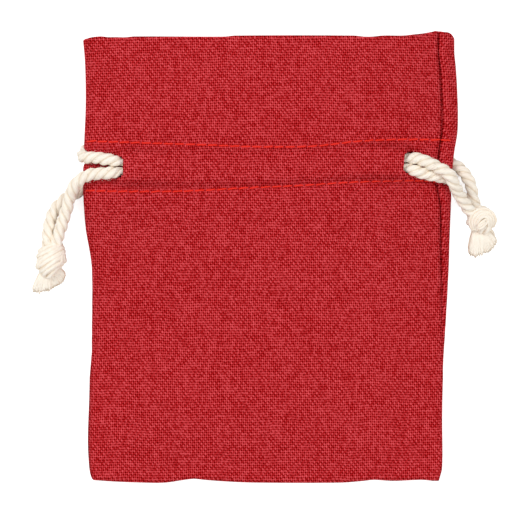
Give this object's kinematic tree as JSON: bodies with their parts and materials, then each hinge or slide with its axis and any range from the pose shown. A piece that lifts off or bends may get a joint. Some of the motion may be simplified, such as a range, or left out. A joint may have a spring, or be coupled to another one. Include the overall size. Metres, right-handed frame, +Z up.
{
  "type": "drawstring pouch",
  "caption": "Small flat drawstring pouch of plain-woven cotton, with a stitched cord channel below a loose ruffled top and twisted drawcords knotted and frayed at both sides.",
  "frame": {"origin": "on the surface that the pouch lies on, below the middle of the bag without its cords", "axes": "+X to the right seen from above, +Y from the folded bottom towards the mouth, +Z up, out of the front"},
  "size_m": [0.1317, 0.1283, 0.0155],
  "materials": {
    "red_cotton": "coarse plain weave of dyed cotton, matt",
    "cream_cord": "three-strand twisted natural cotton, matt",
    "cord_fray": "loose frayed cotton fibre",
    "orange_thread": "orange-red polyester sewing thread"
  },
  "bodies": {
    "root": {"bag_body": "red_cotton", "left_drawcord": "cream_cord", "right_drawcord": "cream_cord", "left_knot": "cream_cord", "right_knot": "cream_cord", "left_tassel": "cord_fray", "right_tassel": "cord_fray", "upper_stitching": "orange_thread", "lower_stitching": "orange_thread"}
  },
  "joints": []
}
